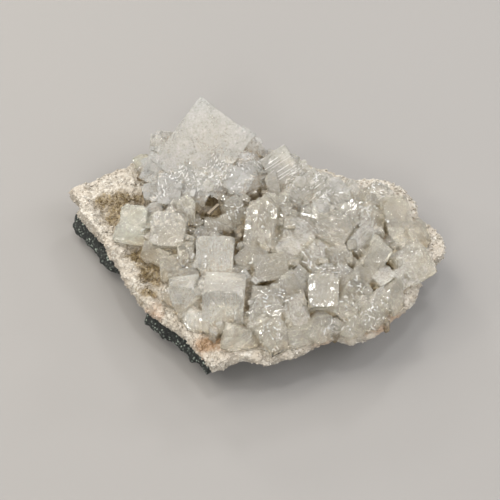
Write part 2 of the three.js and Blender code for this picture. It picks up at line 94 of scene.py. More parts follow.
camera = link_object("camera", bpy.data.cameras.new("camera"))
back = Vector((0, -math.cos(ELEVATION), math.sin(ELEVATION)))
camera.location = TARGET + back * DISTANCE
camera.rotation_euler = (math.pi / 2 - ELEVATION, 0, 0)
camera.data.sensor_width = SENSOR
camera.data.lens = SENSOR * DISTANCE / FRAME_WIDTH
camera.data.clip_start = 0.01
camera.data.clip_end = 20
bpy.context.scene.camera = camera


def softbox(name, place, size, power, tint):
    """A square lamp, its place and size in metres and power in watts, that looks at it."""
    lamp = bpy.data.lights.new(name, "AREA")
    lamp.shape = "SQUARE"
    lamp.size = size
    lamp.energy = power
    lamp.color = linear(tint)[:3]
    box = link_object(name, lamp)
    box.location = place
    box.rotation_euler = (TARGET - Vector(place)).to_track_quat("-Z", "Y").to_euler()


softbox("left_softbox", (-0.50, 0.28, 0.78), 0.70, 7.5, "#fff8ee")
softbox("right_softbox", (0.60, -0.10, 0.60), 0.50, 3.0, "#fbfbff")
softbox("front_softbox", (-0.10, -0.75, 0.42), 0.50, 2.6, "#fffdf8")
softbox("rear_lamp", (0.20, 0.60, 0.50), 0.09, 1.3, "#ffffff")
softbox("rear_left_lamp", (-0.30, 0.62, 0.38), 0.09, 1.1, "#fffdf8")
softbox("left_lamp", (-0.65, -0.10, 0.45), 0.09, 1.1, "#fffaf0")
softbox("front_lamp", (-0.15, -0.60, 0.45), 0.09, 0.9, "#fffdf8")
softbox("right_lamp", (0.62, 0.30, 0.35), 0.09, 1.0, "#ffffff")
softbox("top_lamp", (0.12, 0.08, 0.90), 0.10, 1.5, "#ffffff")

room = bpy.data.worlds.new("room")
room.use_nodes = True
sky = room.node_tree
direction = add(sky, "ShaderNodeTexCoord").outputs["Generated"]
upward = add(sky, "ShaderNodeSeparateXYZ", {"Vector": direction}).outputs["Z"]
ceiling = add(sky, "ShaderNodeMapRange", {"Value": upward},
              {"From Min": 0.1, "From Max": 0.9, "To Min": 0.30, "To Max": 0.81})
sky.nodes["Background"].inputs["Color"].default_value = linear("#f4f3f1")
sky.links.new(ceiling.outputs[0], sky.nodes["Background"].inputs["Strength"])
bpy.context.scene.world = room
bpy.context.scene.view_settings.view_transform = "Standard"

table_mesh = bpy.data.meshes.new("table")
table_mesh.from_pydata([(-3, -3, 0), (3, -3, 0), (3, 3, 0), (-3, 3, 0)], [], [(0, 1, 2, 3)])
table = link_object("table", table_mesh)
# Matt painted board: even and pale, with no grain that shows.
tree, painted_board, output = new_material("painted board")
board = add(tree, "ShaderNodeBsdfPrincipled", values={
    "Base Color": linear("#868482"), "Roughness": 0.7, "Specular IOR Level": 0.3})
tree.links.new(board.outputs[0], output.inputs["Surface"])
table_mesh.materials.append(painted_board)

# ---------------------------------------------------------------- basalt matrix
# The broken piece of basalt that everything grew on: a fine-grained dark green-black lava
# whose small gas bubbles are filled with pale green celadonite. Its sides are fracture
# surfaces, rough at every scale, and it lies on a flat broken underside.

BASALT_GRID = 0.75            # size of the mesh's faces
BASALT_LUMPS = 4.0            # width of the fracture's lumps
BASALT_CHIPS = 1.9            # width of the chips that broke out of them
BASALT_RELIEF = 0.8           # how far both stand out
REST_EDGE = 1.5               # height over which the flat underside turns rough
BUBBLE_SPACING = 1.1
SPECKLED_PATCH = 4            # size of the places where many bubbles are filled
BASALT_GRAIN = 0.8            # drawn coarser than the real grain, which wouldn't show


def welded(node):
    """A bmesh of a solid with its corners joined, in metres."""
    body = bmesh.new()
    body.from_mesh(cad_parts[node].data)
    bmesh.ops.remove_doubles(body, verts=body.verts, dist=0.001 * MM)
    return body


def remeshed(node, grid):
    """A mesh of a solid made of even square faces, in metres."""
    body = welded(node)
    mesh = bpy.data.meshes.new(node)
    body.to_mesh(mesh)
    body.free()
    source = link_object(node + "_source", mesh)
    modifier = source.modifiers.new("even faces", "REMESH")
    modifier.mode = "VOXEL"
    modifier.voxel_size = grid * MM
    evaluated = source.evaluated_get(bpy.context.evaluated_depsgraph_get())
    made = bpy.data.meshes.new_from_object(evaluated)
    bpy.data.objects.remove(source)
    return made


def points_and_normals(mesh):
    """A mesh's points, in millimetres, and which way its surface faces there."""
    points = np.empty(len(mesh.vertices) * 3, np.float32)
    normals = np.empty(len(mesh.vertices) * 3, np.float32)
    mesh.vertices.foreach_get("co", points)
    mesh.vertex_normals.foreach_get("vector", normals)
    return points.reshape(-1, 3) / MM, normals.reshape(-1, 3)


def displace(mesh, heights, normals, points):
    """Moves the mesh's points along their normals by heights in millimetres."""
    moved = (points + normals * heights[:, None]) * MM
    mesh.vertices.foreach_set("co", moved.astype(np.float32).ravel())
    mesh.update()


def cloudy(points, size, octaves=3):
    """Fractal noise between about -1 and 1 at points in millimetres."""
    return np.array([noise.fractal(Vector(p) / size, 1.0, 2.0, octaves) for p in points])


def cracked(points, size):
    """Distance from the nearest of many scattered cell centres, as a share of size."""
    return np.array([noise.voronoi(Vector(p) / size)[0][0] for p in points])


basalt_mesh = remeshed("basalt_matrix", BASALT_GRID)
points, normals = points_and_normals(basalt_mesh)
relief = cloudy(points, BASALT_LUMPS) - 0.9 * cracked(points, BASALT_CHIPS) + 0.3
relief *= BASALT_RELIEF
relief *= np.clip(points[:, 2] / REST_EDGE, 0, 1)
under_crust = normals[:, 2] > 0.7
relief = np.where(under_crust, np.minimum(relief, 0), relief)   # nothing pierces the crust
displace(basalt_mesh, relief, normals, points)

# Basalt, broken: matt and fine-grained, so it is dark with soft highlights, and the filled
# bubbles show as pale green and silvery specks of 0.3 to 1.5 mm.
tree, basalt, output = new_material("broken basalt")
place = add(tree, "ShaderNodeTexCoord").outputs["Object"]
bubbles = add(tree, "ShaderNodeTexVoronoi", {"Vector": place},
              {"Scale": 1 / (BUBBLE_SPACING * MM)})
filled = add(tree, "ShaderNodeMapRange", {"Value": bubbles.outputs["Distance"]},
             {"From Min": 0.22, "From Max": 0.42, "To Min": 1.0, "To Max": 0.0})
patches = add(tree, "ShaderNodeTexNoise", {"Vector": place},
              {"Scale": 1 / (SPECKLED_PATCH * MM), "Detail": 5.0, "Roughness": 0.7})
speckled = add(tree, "ShaderNodeMapRange", {"Value": patches.outputs["Fac"]},
               {"From Min": 0.44, "From Max": 0.60})
specks = add(tree, "ShaderNodeMath", {0: filled.outputs[0], 1: speckled.outputs[0]},
             operation="MULTIPLY")
grain = add(tree, "ShaderNodeTexNoise", {"Vector": place},
            {"Scale": 1 / (BASALT_GRAIN * MM), "Detail": 6.0, "Roughness": 0.7})
stone = add(tree, "ShaderNodeValToRGB", {"Fac": grain.outputs["Fac"]})
stone.color_ramp.elements[0].position = 0.36
stone.color_ramp.elements[0].color = linear("#0b0d0c")
stone.color_ramp.elements[1].position = 0.66
stone.color_ramp.elements[1].color = linear("#2e3230")
speck_tint = add(tree, "ShaderNodeMix", {"Factor": specks.outputs[0], "A": stone.outputs[0]},
                 {"B": linear("#98a399")}, data_type="RGBA")
rough = add(tree, "ShaderNodeBump", {"Height": grain.outputs["Fac"]},
            {"Strength": 1.0, "Distance": 0.6 * MM})
surface = add(tree, "ShaderNodeBsdfPrincipled",
              {"Base Color": speck_tint.outputs["Result"], "Normal": rough.outputs[0]},
              {"Roughness": 0.72, "IOR": 1.5, "Specular IOR Level": 0.45})
tree.links.new(surface.outputs[0], output.inputs["Surface"])
basalt_mesh.materials.append(basalt)

basalt_piece = link_object("broken_basalt", basalt_mesh)
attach(basalt_piece, "root")
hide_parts("basalt_matrix")

# ---------------------------------------------------------------- sugary crust
# The coat of tiny quartz and apophyllite grains that lines the basalt, 5 to 7 mm thick: a
# cream sugar, pinkish in places, with rust and olive-brown clay in its pockets.

CRUST_GRID = 0.75             # size of the mesh's faces
CRUST_LUMPS = 3.6             # width of the low lumps under the sugar
LUMP_RELIEF = 0.5             # how far they stand out
GRAIN = 1.25                  # width of the larger sugar grains
GRAIN_RELIEF = 0.75           # how much they and the hollows between them differ in height
SMALL_GRAIN = 0.75            # width of the smaller ones, which show as colour and gloss
LOOSE_GRAINS = 7500           # single crystals of sugar that stand out of the crust
GRAIN_SIZES = 0.35, 0.95
UNEVENNESS = 0.15             # how much deeper or higher than half sunk they sit

crust_mesh = remeshed("drusy_crust", CRUST_GRID)
points, normals = points_and_normals(crust_mesh)
lumps = LUMP_RELIEF * cloudy(points, CRUST_LUMPS, 2)
grains = GRAIN_RELIEF * (0.45 - cracked(points, GRAIN))
underside = normals[:, 2] < -0.5
displace(crust_mesh, np.where(underside, 0, lumps + grains), normals, points)


def sown_blocks(mesh, count, sizes, chances):
    """A mesh of small tilted blocks, half sunk at random places of a mesh's upper faces."""
    centres = np.empty(len(mesh.polygons) * 3, np.float32)
    facing = np.empty(len(mesh.polygons) * 3, np.float32)
    mesh.polygons.foreach_get("center", centres)
    mesh.polygons.foreach_get("normal", facing)
    centres, facing = centres.reshape(-1, 3), facing.reshape(-1, 3)
    open_faces = np.flatnonzero(facing[:, 2] > -0.35)
    middles = centres[chances.choice(open_faces, count)]
    middles = middles + chances.normal(0, UNEVENNESS * MM, middles.shape)
    turns = np.linalg.qr(chances.normal(size=(count, 3, 3)))[0]
    scales = chances.uniform(*sizes, (count, 1, 1)) * chances.uniform(0.6, 1.0, (count, 1, 3))
    cube = np.array([(x, y, z) for x in (-0.5, 0.5) for y in (-0.5, 0.5) for z in (-0.5, 0.5)])
    corners = (cube * scales * MM) @ turns + middles[:, None]
    sides = np.array([(0, 1, 3, 2), (4, 6, 7, 5), (0, 4, 5, 1), (2, 3, 7, 6), (0, 2, 6, 4),
                      (1, 5, 7, 3)])
    faces = (sides[None] + 8 * np.arange(count)[:, None, None]).reshape(-1, 4)
    made = bpy.data.meshes.new("blocks")
    made.from_pydata(corners.reshape(-1, 3).tolist(), [], faces.tolist())
    return made


# Crystal sugar: pale grains with small glassy faces, each of a shade of its own, so it is
# dull from a distance and glints close by. Clay stained it where water stood.
POCKETS = [                   # brown clay: middle x, y and radius
    (-52.5, 21, 5), (-50, 17, 4.8), (-54.5, 18.5, 5), (-58.5, 19.5, 3.5), (-52.7, 10, 4.8),
    (-54.8, 12.5, 4), (-50.5, 7, 3.5), (-44.8, 22.5, 3.5), (-44.5, 17, 4.2),
    (-43.5, -5.5, 4.5), (-40, -9.5, 3.5), (-38, -15, 5), (-35.5, -19.5, 3), (-38.5, -26, 3),
    (-16, 12, 6.5), (-8.5, -5.5, 4.5), (-9, -12, 4), (-16, -47.5, 3), (19.5, -18.5, 4.5),
    (51.5, -15, 4.5), (38.5, 20.5, 4), (44, -25, 4), (3, -22, 5), (-15.5, 20, 4.5),
]
RUST = [                      # iron stains along the front rim, listed the same way
    (-17, -48, 4), (-9, -50, 3), (45, -41, 4), (51, -36, 4), (24, -46, 3), (-36, -33, 3),
]
RAGGED = 14                   # how strongly the stains' borders wander
WOBBLE = 5                    # size of the bays in the borders
CLUMP = 1.6                   # size of the clots of clay
FADE = 1.5                    # half the width over which a stain fades out
CRUST_LEVEL = 15              # height of the crust's floor above the table
tree, sugar, output = new_material("sugary crust")
place = add(tree, "ShaderNodeTexCoord").outputs["Object"]
wobble = add(tree, "ShaderNodeTexNoise", {"Vector": place},
             {"Scale": 1 / (WOBBLE * MM), "Detail": 4.0, "Roughness": 0.65})
fine = add(tree, "ShaderNodeTexNoise", {"Vector": place},
           {"Scale": 1 / (CLUMP * MM), "Detail": 4.0, "Roughness": 0.6})


def spots(tree, place, ragged, places):
    """1 inside the listed round places, with ragged borders, and 0 outside."""
    found = None
    for x, y, radius in places:
        away = add(tree, "ShaderNodeVectorMath", {0: place},
                   {1: Vector((x, y, CRUST_LEVEL)) * MM}, operation="DISTANCE")
        border = add(tree, "ShaderNodeMath", {0: ragged, 2: away.outputs["Value"]},
                     {1: RAGGED * MM}, operation="MULTIPLY_ADD")
        edge = radius + RAGGED / 2
        inside = add(tree, "ShaderNodeMapRange", {"Value": border.outputs[0]},
                     {"From Min": (edge - FADE) * MM, "From Max": (edge + FADE) * MM,
                      "To Min": 1.0, "To Max": 0.0}).outputs[0]
        found = inside if found is None else add(
            tree, "ShaderNodeMath", {0: found, 1: inside}, operation="MAXIMUM").outputs[0]
    return found


clay = spots(tree, place, wobble.outputs["Fac"], POCKETS)
iron = spots(tree, place, wobble.outputs["Fac"], RUST)
grain_cells = add(tree, "ShaderNodeTexVoronoi", {"Vector": place},
                  {"Scale": 1 / (SMALL_GRAIN * MM)})
cell_shade = add(tree, "ShaderNodeSeparateColor", {"Color": grain_cells.outputs["Color"]})
cream = add(tree, "ShaderNodeValToRGB", {"Fac": cell_shade.outputs[0]})
cream.color_ramp.elements[0].color = linear("#867f74")
for position, shade in ((0.22, "#979084"), (0.7, "#aaa499")):
    cream.color_ramp.elements.new(position).color = linear(shade)
cream.color_ramp.elements[-1].color = linear("#c8c4bc")
blush = add(tree, "ShaderNodeMapRange", {"Value": wobble.outputs["Fac"]},
            {"From Min": 0.40, "From Max": 0.62})
pinkish = add(tree, "ShaderNodeMix", {"Factor": blush.outputs[0], "A": cream.outputs[0]},
              {"B": linear("#a59c8f")}, data_type="RGBA")
earth_tone = add(tree, "ShaderNodeMath", {0: fine.outputs["Fac"], 1: cell_shade.outputs[1]},
                 operation="MULTIPLY")
earth = add(tree, "ShaderNodeValToRGB", {"Fac": earth_tone.outputs[0]})
earth.color_ramp.elements[0].position = 0.04
earth.color_ramp.elements[0].color = linear("#5c4d35")
earth.color_ramp.elements[1].position = 0.5
earth.color_ramp.elements[1].color = linear("#867759")
stained = add(tree, "ShaderNodeMix",
              {"Factor": clay, "A": pinkish.outputs["Result"], "B": earth.outputs[0]},
              data_type="RGBA")
rusty = add(tree, "ShaderNodeMath", {0: iron}, {1: 0.55}, operation="MULTIPLY")
shade = add(tree, "ShaderNodeMix", {"Factor": rusty.outputs[0], "A": stained.outputs["Result"]},
            {"B": linear("#9c7b5e")}, data_type="RGBA")
rough = add(tree, "ShaderNodeBump", {"Height": grain_cells.outputs["Distance"]},
            {"Strength": 0.7, "Distance": -0.3 * MM})
surface = add(tree, "ShaderNodeBsdfPrincipled",
              {"Base Color": shade.outputs["Result"], "Normal": rough.outputs[0]},
              {"Roughness": 0.35, "IOR": 1.54})
tree.links.new(surface.outputs[0], output.inputs["Surface"])
crust_mesh.materials.append(sugar)

# A weathered splinter of zeolite that lies in the largest pocket: tan, matt and even.
tree, zeolite, output = new_material("weathered splinter")
chalky = add(tree, "ShaderNodeBsdfPrincipled", values={
    "Base Color": linear("#7d7261"), "Roughness": 0.5, "IOR": 1.5})
tree.links.new(chalky.outputs[0], output.inputs["Surface"])
crust_mesh.materials.append(zeolite)

loose = sown_blocks(crust_mesh, LOOSE_GRAINS, GRAIN_SIZES, np.random.default_rng(5))
SPLINTER_PLACE = -15.3, 12.5, 19.8
SPLINTER_SIZE = 1.1, 6.4, 0.8
SPLINTER_TURN = math.radians(-38)
lath = Matrix.LocRotScale(Vector(SPLINTER_PLACE) * MM,
                          Matrix.Rotation(SPLINTER_TURN, 3, "Z").to_quaternion(),
                          Vector(SPLINTER_SIZE) * MM)
whole = bmesh.new()
whole.from_mesh(crust_mesh)
whole.from_mesh(loose)
splinter = bmesh.ops.create_cube(whole, size=1.0, matrix=lath)["verts"]
for face in {f for v in splinter for f in v.link_faces}:
    face.material_index = 1
whole.to_mesh(crust_mesh)
whole.free()
crust_piece = link_object("sugary_crust", crust_mesh)
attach(crust_piece, "root")
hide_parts("drusy_crust")

# ---------------------------------------------------------------- apophyllite blocks
# Block crystals of apophyllite, which grew side by side and into each other. Their faces
# carry low growth steps, fine striations and small blocks that stand parallel to the host,
# and their knocked corners and edges are splintered.

SPARKLES = [                  # broken, glittering places: middle x, y and radius
    (-25.5, 24.6, 4.8), (-28, 21.5, 3), (-15, 28.5, 4.2), (-24.5, -16.3, 3.4),
    (-38.7, 0.7, 3.4), (-14.2, -1.3, 3.4), (-6.8, 8.4, 4.5), (-31.5, -27.9, 2.2),
    (6.9, -48.5, 4.5), (26.1, -22, 4.9), (12.6, 7.3, 2.2), (18.4, 21.5, 6.7),
    (27.9, 16.2, 6), (43.1, 6.8, 4.5), (47, -1.3, 3), (36.8, -30.7, 4.1), (48.2, 18.3, 4.1),
    (34.2, -36.9, 3.4), (32.5, -42.1, 3.4), (41.6, -42.1, 4.5), (50, -37.8, 1.5),
    (0.9, 30.8, 3.7), (3.4, -2.8, 2.6), (-7, -42.6, 2.2), (20.9, -16.3, 3),
    (-17.5, -17.3, 1.9), (-1.1, -18.7, 2.6), (14.3, 10.9, 3), (10.6, -34.7, 3),
    (4.2, -39.1, 3), (-34.5, 17.5, 3.5), (-33, 23.5, 3), (-21, 19, 4), (-14, 22, 4),
    (-27.5, 23.5, 4), (-6.5, 20, 3.5), (-3, 29, 3.5), (46, -37, 4), (26, -44, 3),
    (38, -33, 3), (-18, 25, 4), (-10.5, 26, 4), (-22.5, 22.5, 4),
]
CLEAN = [                     # crystals whose faces grew undisturbed, listed the same way
    (-19.5, 36, 6), (3, -2, 7), (-14, -15.5, 7), (-10.7, -39, 8), (25, -32.5, 6),
    (54.7, 1, 7), (-31.5, -4, 6), (6.7, -22.4, 5), (12.5, 25, 6), (-44, 2, 8),
    (-25.4, 8, 5),
]
EDGE_BRUISE_AND_HIGHLIGHT = 0.27              # width of the white strip along a crystal's edges: a bruise and a painted edge highlight
SMALL_FACE = 5                # smaller faces stay plain, in square millimetres
LINED_FACE = 25               # larger ones carry growth lines
RIBBED_FACE = 90              # larger ones carry ribs on the striated crystals
SMOOTH_FACE = 130             # larger ones carry no other crystals

CRYSTAL_GROUPS = [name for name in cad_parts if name.endswith(("crystal", "crystals"))]
everything = bmesh.new()
OWNERS = []                   # the group that each face of CRYSTALS belongs to
for node in CRYSTAL_GROUPS:
    everything.from_mesh(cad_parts[node].data)
    OWNERS += [node] * (len(everything.faces) - len(OWNERS))
CRYSTALS = BVHTree.FromBMesh(everything)
everything.clear()
everything.from_mesh(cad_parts["drusy_crust"].data)
CRUST = BVHTree.FromBMesh(everything)
everything.free()


def unit_block(trim):
    """Corners and faces of a 1 mm block; trim cuts its corners back."""
    block = bmesh.new()
    bmesh.ops.create_cube(block, size=1.0)
    if trim:
        bmesh.ops.bevel(block, geom=block.verts, offset=trim, segments=1,
                        affect="VERTICES")
    corners = np.array([v.co[:] for v in block.verts])
    faces = [[v.index for v in f.verts] for f in block.faces]
    block.free()
    return corners, faces


PLAIN_BLOCK = unit_block(0)
TRIMMED_BLOCK = unit_block(0.24)


def placed(shape, middle, sizes, turn):
    """A block shape at its real size and place, as (middle, reach, corners, faces)."""
    corners = (shape[0] * np.array(sizes)) @ np.array(turn.transposed()) + np.array(middle)
    return np.array(middle), float(np.linalg.norm(sizes)) / 2, corners, shape[1]


def line_direction(face, crosswise):
    """Growth lines run along a face's longest edge, or across it on crosswise crystals."""
    longest = max(face.edges, key=lambda e: e.calc_length())
    along = (longest.verts[1].co - longest.verts[0].co).normalized()
    return along.cross(face.normal) if crosswise else along


class Face:
    """One flat crystal face, with its own axes: u the way its growth lines run, v across."""

    def __init__(self, face, crosswise):
        self.normal = face.normal.copy()
        self.u = line_direction(face, crosswise)
        self.v = self.normal.cross(self.u)
        self.area = face.calc_area() / MM ** 2
        self.corners = [v.co / MM for v in face.verts]
        self.flat = [(c.dot(self.u), c.dot(self.v)) for c in self.corners]
        self.height = self.corners[0].dot(self.normal)
        triangles = geometry.tessellate_polygon([self.corners])
        self.triangles = [[Vector(self.flat[i]) for i in t] for t in triangles]
        self.shares = [max(geometry.area_tri(*t), 1e-6) for t in self.triangles]

    def point(self, draw):
        """A random point on the face, as u and v."""
        a, b, c = draw.choices(self.triangles, self.shares)[0]
        s, t = draw.random(), draw.random()
        if s + t > 1:
            s, t = 1 - s, 1 - t
        return a + (b - a) * s + (c - a) * t

    def reach(self, point, axis):
        """Where the face ends on both sides of a point, along u (axis 0) or v (axis 1)."""
        other = 1 - axis
        low, high = -1e9, 1e9
        for start, end in zip(self.flat, self.flat[1:] + self.flat[:1]):
            if (start[other] > point[other]) == (end[other] > point[other]):
                continue
            share = (point[other] - start[other]) / (end[other] - start[other])
            crossing = start[axis] + share * (end[axis] - start[axis])
            if crossing <= point[axis]:
                low = max(low, crossing)
            else:
                high = min(high, crossing)
        return low, high

    def within(self, places):
        """Whether the face's middle lies inside one of the listed round places."""
        middle = sum(self.corners, Vector()) / len(self.corners)
        return any((middle.xy - Vector((x, y))).length < radius for x, y, radius in places)

    def place(self, u, v, lift=0.0):
        """The point at u and v, lifted off the face."""
        return self.u * u + self.v * v + self.normal * (self.height + lift)

    def block(self, u, v, size, proud, tilt=(0, 0, 0), shape=PLAIN_BLOCK):
        """A block on the face that stands proud of it, as (middle, reach, corners, faces)."""
        turn = Matrix((self.u, self.v, self.normal)).transposed()
        for axis, angle in zip("XYZ", tilt):
            turn = turn @ Matrix.Rotation(angle, 3, axis)
        depth = proud + 1.1 * max(proud, 0.6)
        middle = self.place(u, v, proud - depth / 2)
        return placed(shape, middle, (size[0], size[1], depth), turn)


def clipped(size, span, at):
    """Middle and width of a strip round a place, cut short where the span ends."""
    low = max(span[0], at - size / 2)
    high = min(span[1], at + size / 2)
    return (low + high) / 2, high - low


STEP_AREA = 45                # square millimetres of face to each growth step


def growth_steps(face, draw):
    """Low terraces with edges parallel to the face's own."""
    made = []
    for _ in range(int(face.area / STEP_AREA)):
        at = face.point(draw)
        spans = face.reach(at, 0), face.reach(at, 1)
        u, width = clipped(draw.uniform(3, 11), spans[0], at[0])
        v, height = clipped(draw.uniform(2, 8), spans[1], at[1])
        if min(width, height) > 0.8:
            made.append(face.block(u, v, (width, height), draw.uniform(0.08, 0.2)))
    return made


def striations(face, draw, spacing, proud, longest=40):
    """Thin straight ribs that run along the face side by side, as one block."""
    taken, corners, faces = [], [], []
    for _ in range(int(2 * face.area ** 0.5 / spacing)):
        at = face.point(draw)
        width = draw.uniform(0.15, 0.3) * spacing
        u, length = clipped(draw.uniform(4, longest), face.reach(at, 0), at[0])
        if length < 1.5 or any(abs(at[1] - v) < spacing * 0.6 for v in taken):
            continue
        taken.append(at[1])
        rib = face.block(u, at[1], (length, width), draw.uniform(0.4, 1) * proud)
        faces += [[len(corners) + i for i in f] for f in rib[3]]
        corners += list(rib[2])
    if not faces:
        return []
    middle = np.mean(corners, axis=0)
    reach = max(np.linalg.norm(c - middle) for c in corners)
    return [(middle, reach, np.array(corners), faces)]


PARALLEL_AREA = 50            # square millimetres of face to each small block on it
SLANT_AREA = 45               # and to each slanting crystal, at most


def parallel_blocks(face, draw):
    """Small blocks of the same crystal that stand a little proud of the face."""
    made = []
    for _ in range(int(face.area / PARALLEL_AREA)):
        at = face.point(draw)
        spans = face.reach(at, 0), face.reach(at, 1)
        u, width = clipped(draw.uniform(0.8, 3.2), spans[0], at[0])
        v, height = clipped(draw.uniform(0.8, 2.6), spans[1], at[1])
        tilt = [math.radians(draw.gauss(0, 2.5)) for _ in range(3)]
        if min(width, height) > 0.4:
            made.append(face.block(u, v, (width, height), draw.uniform(0.15, 0.8), tilt))
    return made


def intergrown(face, draw):
    """Crystals a few millimetres across that grew out of the face at a slant."""
    made = []
    for _ in range(int(face.area / SLANT_AREA * draw.random())):
        at = face.point(draw)
        size = draw.uniform(1.8, 4.5), draw.uniform(1.8, 4.5)
        tilt = [math.radians(draw.gauss(0, s)) for s in (22, 22, 30)]
        made.append(face.block(*at, size, draw.uniform(0.5, 1.8), tilt, TRIMMED_BLOCK))
    return made


def height_at(tree, x, y):
    """Height of a piece's top above the table at x and y, or 0 beside it."""
    hit = tree.ray_cast(Vector((x, y, 90)) * MM, Vector((0, 0, -1)))[0]
    return hit.z / MM if hit else 0.0


FIELD = (-55, 62), (-58, 42)  # where the crystals grew, along x and along y
GAP_STEP = 1.7                # distance between the places where young crystals may grow
ROUND_ABOUT = 4.2             # how far off the crystals are that shelter such a place
EIGHT_WAYS = 0, 0.785, 1.571, 2.356, 3.142, 3.927, 4.712, 5.498   # the ways to them


def gap_crystals(draw):
    """Young crystals that fill the gaps between the large ones, listed by group."""
    made = {node: [] for node in CRYSTAL_GROUPS}
    x = FIELD[0][0]
    while x < FIELD[0][1]:
        y = FIELD[1][0]
        while y < FIELD[1][1]:
            at = Vector((x + draw.uniform(-1, 1), y + draw.uniform(-1, 1)))
            y += GAP_STEP
            if any((at - Vector(place[:2])).length < place[2] for place in POCKETS):
                continue
            ground = height_at(CRUST, *at)
            here = max(ground, height_at(CRYSTALS, *at))
            around = [height_at(CRYSTALS, at.x + ROUND_ABOUT * math.cos(way),
                                at.y + ROUND_ABOUT * math.sin(way)) for way in EIGHT_WAYS]
            higher = sorted(h for h in around if h > here + 2.0)
            if len(higher) < 5 or not ground:
                continue
            top = min(higher[len(higher) // 3], here + 8) - draw.uniform(0.3, 2.4)
            length = min(top - here + 2.0, 13.0)
            if length < 2.5:
                continue
            size = draw.uniform(1.6, 4.2), draw.uniform(1.6, 4.2), length
            lean = Matrix.Rotation(math.radians(draw.gauss(0, 11)), 3, "X")
            lean = lean @ Matrix.Rotation(math.radians(draw.gauss(0, 11)), 3, "Y")
            turn = lean @ Matrix.Rotation(draw.uniform(0, math.pi), 3, "Z")
            middle = Vector((at.x, at.y, top)) - turn @ Vector((0, 0, length / 2))
            _, _, nearest, _ = CRYSTALS.find_nearest(middle * MM)
            made[OWNERS[nearest]].append(placed(PLAIN_BLOCK, middle, size, turn))
        x += GAP_STEP
    return made


SPLINTERS = 2.2               # splinters tried on each square millimetre
SPLINTER_TILTS = 16, 16, 40   # how far they lean and turn, in degrees


def sparkles(face, draw):
    """Splintered places, packed with small tilted blocks."""
    made = []
    for x, y, radius in SPARKLES:
        middle = sum(face.corners, Vector()) / len(face.corners)
        if (middle.xy - Vector((x, y))).length > radius + 14:
            continue
        for _ in range(int(face.area * SPLINTERS)):
            at = face.point(draw)
            here = face.place(*at)
            if (here.xy - Vector((x, y))).length > radius * draw.uniform(0.5, 1.1):
                continue
            size = draw.uniform(0.5, 2.2), draw.uniform(0.1, 0.4)
            tilt = [math.radians(draw.gauss(0, s)) for s in SPLINTER_TILTS]
            made.append(face.block(*at, size, draw.uniform(0.1, 0.35), tilt))
    return made


CHIPS = 0.10                  # chips on each millimetre of edge


def edge_chips(body, draw):
    """Bites that knocks took out of the crystals' outer edges."""
    made = []
    for edge in body.edges:
        length = edge.calc_length() / MM
        if length < 2 or not edge.is_convex or edge.calc_face_angle(0) < 0.5:
            continue
        for _ in range(int(length * CHIPS + draw.random())):
            share = draw.random()
            at = edge.verts[0].co.lerp(edge.verts[1].co, share) / MM
            out = sum((f.normal for f in edge.link_faces), Vector()).normalized()
            size = draw.uniform(0.3, 1.1)
            turn = Matrix.Rotation(draw.uniform(0, 3), 3, Vector(
                (draw.gauss(0, 1), draw.gauss(0, 1), draw.gauss(0, 1))).normalized())
            middle = np.array(at + out * size * draw.uniform(0.22, 0.42))
            corners = PLAIN_BLOCK[0] * size @ np.array(turn) + middle
            made.append((middle, size * 0.87, corners, PLAIN_BLOCK[1]))
    return made


LEVEL_STEP = 1.6              # spacing of the heights that the level below is made from
LEVEL_REACH = 76              # how far they go from the middle, each way


def crystal_level():
    """The crystals' mean height round each place of an even grid."""
    columns = np.arange(-LEVEL_REACH, LEVEL_REACH, LEVEL_STEP)
    tops = np.array([[height_at(CRYSTALS, x, y) for y in columns] for x in columns])
    spread, weight = np.zeros_like(tops), np.zeros_like(tops)
    for i in range(-3, 4):
        for j in range(-3, 4):
            spread += np.roll(tops, (i, j), (0, 1))
            weight += np.roll(tops > 0, (i, j), (0, 1))
    return spread / np.maximum(weight, 1)


LEVEL = crystal_level()


def sheltered(mesh):
    """Notes at each point of a mesh how deep it lies among the crystals round it."""
    points = points_and_normals(mesh)[0]
    cells = ((points[:, :2] + LEVEL_REACH) / LEVEL_STEP).round().astype(int)
    cells = np.clip(cells, 0, len(LEVEL) - 1)
    depth = LEVEL[cells[:, 0], cells[:, 1]] - points[:, 2]
    mesh.attributes.new("depth", "FLOAT", "POINT").data.foreach_set(
        "value", depth.astype(np.float32))


def grained(mesh, host, crosswise):
    """Notes at each face of a mesh which way its growth lines run and what crosses them."""
    tree = BVHTree.FromBMesh(host)
    host.faces.ensure_lookup_table()
    along = []
    for polygon in mesh.polygons:
        _, normal, number, distance = tree.find_nearest(polygon.center)
        if distance < 0.6 * MM and normal.dot(polygon.normal) > 0.9:
            along.append(line_direction(host.faces[number], crosswise))
        else:
            ends = [mesh.vertices[i].co for i in polygon.vertices[:2]]
            along.append((ends[1] - ends[0]).normalized())
    across = [a.cross(polygon.normal) for a, polygon in zip(along, mesh.polygons)]
    for name, axes in (("along", along), ("across", across)):
        mesh.attributes.new(name, "FLOAT_VECTOR", "FACE").data.foreach_set(
            "vector", np.array(axes, np.float32).ravel())


def layers_of(blocks, finish):
    """Sorts blocks into meshes in which none touches another; finish is their material."""
    layers = []
    for block in blocks:
        for layer in layers:
            gaps = [np.linalg.norm(block[0] - other[0]) - block[1] - other[1]
                    for other in layer]
            if min(gaps) > 0.01:
                layer.append(block)
                break
        else:
            layers.append([block])
    meshes = []
    for layer in layers:
        corners, faces = [], []
        for _, _, block_corners, block_faces in layer:
            first = len(corners)
            corners.extend(block_corners * MM)
            faces.extend([[first + i for i in f] for f in block_faces])
        mesh = bpy.data.meshes.new("layer")
        mesh.from_pydata([tuple(c) for c in corners], [], faces)
        mesh.materials.append(finish)
        meshes.append(mesh)
    return meshes


